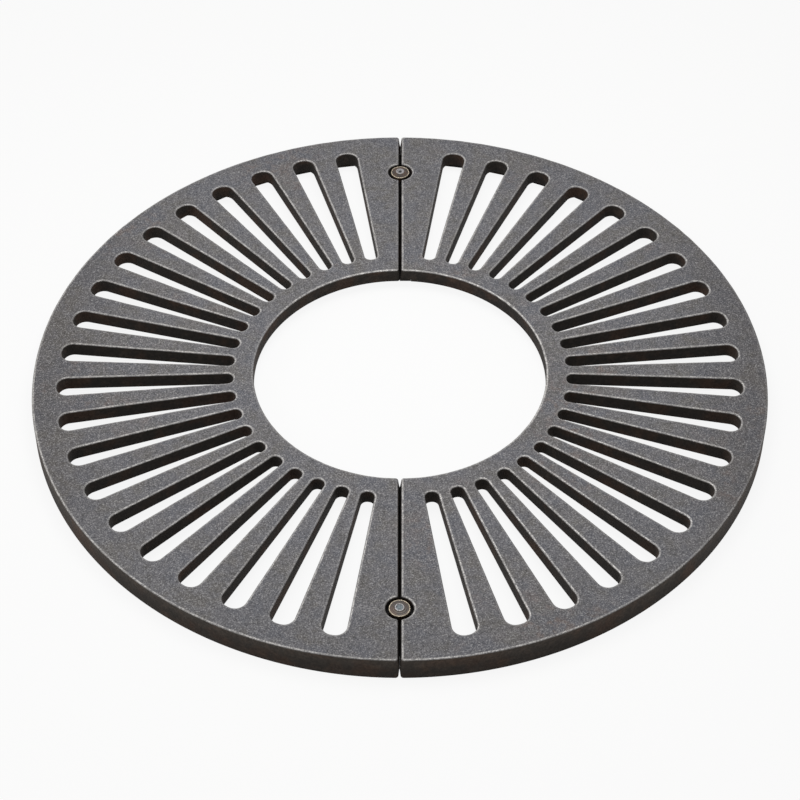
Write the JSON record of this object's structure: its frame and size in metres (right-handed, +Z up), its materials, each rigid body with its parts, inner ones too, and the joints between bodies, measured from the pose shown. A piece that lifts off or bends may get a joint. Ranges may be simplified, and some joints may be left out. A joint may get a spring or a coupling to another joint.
{
  "type": "tree grate",
  "caption": "Round cast iron tree grate in two halves with tapered radial slots, a central trunk opening and a recessed screw at each end of the seam.",
  "frame": {"origin": "centre of the circle, on the plane that the rim stands on", "axes": "+Z up through the walking face, +Y along the seam from the front screw to the rear screw, +X to the right half"},
  "size_m": [0.9, 0.9, 0.0335],
  "materials": {
    "cast_iron": "sand-cast, weathered, with worn edges",
    "screw_steel": "weathered, with a bright worn edge",
    "plain_steel": "dull, slightly rusted"
  },
  "bodies": {
    "root": {"left_half_grate": "cast_iron", "right_half_grate": "cast_iron", "front_screw": "screw_steel", "rear_screw": "screw_steel", "front_spring_washer": "plain_steel", "rear_spring_washer": "plain_steel", "front_nut": "plain_steel", "rear_nut": "plain_steel"}
  },
  "joints": []
}
